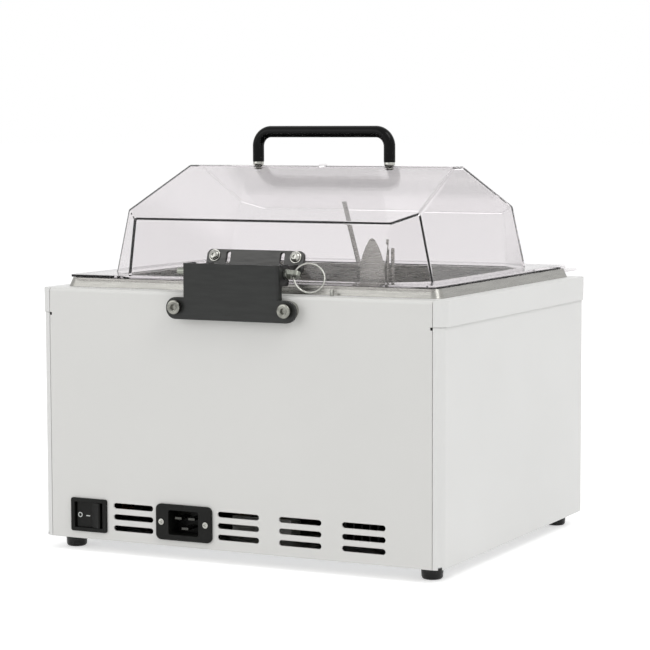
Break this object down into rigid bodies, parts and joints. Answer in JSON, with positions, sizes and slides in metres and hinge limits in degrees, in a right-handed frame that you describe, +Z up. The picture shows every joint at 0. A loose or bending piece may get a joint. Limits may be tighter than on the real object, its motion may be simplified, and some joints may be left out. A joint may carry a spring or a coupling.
{
  "type": "circulating water bath",
  "caption": "Bench-top heated stirring water bath: sheet-metal case on rubber feet, steel tank with raised rim, clear gabled lid with bow handle on a rear pin hinge, rear inlet and switch.",
  "frame": {"origin": "centre of the footprint of the whole part, lid lip and hinge screws included, on the bench", "axes": "+Z up; the rear panel with the inlet and hinge faces +Y; the controls face -Y; +X along the width"},
  "size_m": [0.398, 0.3836, 0.3825],
  "materials": {
    "case_paint": "smooth matt powder coat, light grey white",
    "panel_paint": "smooth matt powder coat, light grey white",
    "inner_steel": "plain zinc-coated sheet",
    "tank_steel": "brushed stainless steel",
    "bright_steel": "bright polished steel",
    "bracket_steel": "dark satin stainless steel",
    "pin_steel": "satin steel",
    "heater_steel": "satin sheathed tube",
    "brass": "plain turned brass",
    "sink_aluminium": "extruded, plain",
    "magnet": "sintered, dark",
    "foot_rubber": "glossy moulded rubber",
    "seal_rubber": "matt foam strip",
    "insulation": "dry mineral wool board",
    "black_plastic": "fine satin moulding",
    "dark_plastic": "fine satin moulding",
    "white_plastic": "plain moulding",
    "float_plastic": "plain white moulding",
    "fascia_plastic": "satin panel",
    "key_plastic": "satin key cap",
    "handle_plastic": "glossy black",
    "lens_plastic": "dark tinted window",
    "lid_clear": "clear formed plastic, glossy",
    "board": "green laminate",
    "wire_plastic": "smooth insulation"
  },
  "bodies": {
    "case": {"base_pan": "inner_steel", "case_wrap": "case_paint", "rear_panel": "panel_paint", "top_deck": "case_paint", "feet": "foot_rubber", "foot_screws": "bright_steel", "tank": "tank_steel", "tank_insulation": "insulation", "heater_element": "heater_steel", "heater_glands": "brass", "motor_bracket": "inner_steel", "stirrer_motor": "dark_plastic", "impeller_spindle": "tank_steel", "impeller_guard": "tank_steel", "base_shelf": "tank_steel", "shelf_lifter": "tank_steel", "group_bracket": "tank_steel", "temperature_probe": "tank_steel", "limit_probe": "tank_steel", "probe_guard": "tank_steel", "float_stem": "tank_steel", "control_fascia": "fascia_plastic", "display_lens": "lens_plastic", "display_module": "dark_plastic", "control_board": "board", "power_switch_body": "black_plastic", "mains_inlet": "black_plastic", "inlet_pins": "bright_steel", "inlet_screws": "bright_steel", "heat_sink": "sink_aluminium", "power_relay": "dark_plastic", "terminal_block": "white_plastic", "earth_stud": "brass", "wiring_harness": "wire_plastic", "hinge_bracket": "bracket_steel", "bracket_spacers": "bright_steel", "backing_plate": "inner_steel", "bracket_screws": "bright_steel", "deck_peg": "bright_steel"},
    "lid": {"lid_leaf": "bracket_steel", "leaf_screws": "bright_steel", "lid_seal": "seal_rubber", "lid_shell": "lid_clear", "lid_handle": "handle_plastic", "handle_ferrules": "bright_steel", "handle_screws": "bright_steel"},
    "pin": {"release_pin": "pin_steel"},
    "ring": {"pin_ring": "bright_steel"},
    "rocker": {"power_rocker": "black_plastic"},
    "drive": {"motor_shaft": "bright_steel", "drive_hub": "dark_plastic", "drive_magnets": "magnet"},
    "impeller": {"impeller": "float_plastic"},
    "float": {"level_float": "float_plastic"},
    "key_set": {"key_set": "key_plastic"},
    "key_down": {"key_down": "key_plastic"},
    "key_up": {"key_up": "key_plastic"},
    "key_timer": {"key_timer": "key_plastic"}
  },
  "joints": [
    {"name": "lid_hinge", "type": "hinge", "parent": "case", "child": "lid", "pos_m": [-0.0022, 0.17425, 0.2565], "axis": [-1, 0, 0], "range_deg": [0, 95]},
    {"name": "pin_slide", "type": "slide", "parent": "case", "child": "pin", "axis": [-1, 0, 0], "range_m": [0, 0.11]},
    {"name": "ring_swing", "type": "hinge", "parent": "pin", "child": "ring", "pos_m": [-0.0584, 0.17425, 0.2565], "axis": [0, -0.4695, 0.8829], "range_deg": [-110, 0]},
    {"name": "power_rocker", "type": "hinge", "parent": "case", "child": "rocker", "pos_m": [0.1489, 0.17225, 0.0338], "axis": [0, 0, 1], "range_deg": [0, 20]},
    {"name": "drive_spin", "type": "hinge", "parent": "case", "child": "drive", "pos_m": [0.095, 0.00265, 0.07], "axis": [0, 0, 1], "continuous": true},
    {"name": "impeller_spin", "type": "hinge", "parent": "case", "child": "impeller", "pos_m": [0.095, 0.00265, 0.1], "axis": [0, 0, 1], "continuous": true},
    {"name": "float_slide", "type": "slide", "parent": "case", "child": "float", "axis": [0, 0, 1], "range_m": [0, 0.015]},
    {"name": "key_set_press", "type": "slide", "parent": "case", "child": "key_set", "axis": [0, 1, 0], "range_m": [0, 0.0015], "stiffness_N_per_m": 400, "springref_m": -0.001},
    {"name": "key_down_press", "type": "slide", "parent": "case", "child": "key_down", "axis": [0, 1, 0], "range_m": [0, 0.0015], "stiffness_N_per_m": 400, "springref_m": -0.001},
    {"name": "key_up_press", "type": "slide", "parent": "case", "child": "key_up", "axis": [0, 1, 0], "range_m": [0, 0.0015], "stiffness_N_per_m": 400, "springref_m": -0.001},
    {"name": "key_timer_press", "type": "slide", "parent": "case", "child": "key_timer", "axis": [0, 1, 0], "range_m": [0, 0.0015], "stiffness_N_per_m": 400, "springref_m": -0.001}
  ],
  "couplings": [
    {"joint": "impeller_spin", "follows": "drive_spin", "ratio": 1}
  ]
}
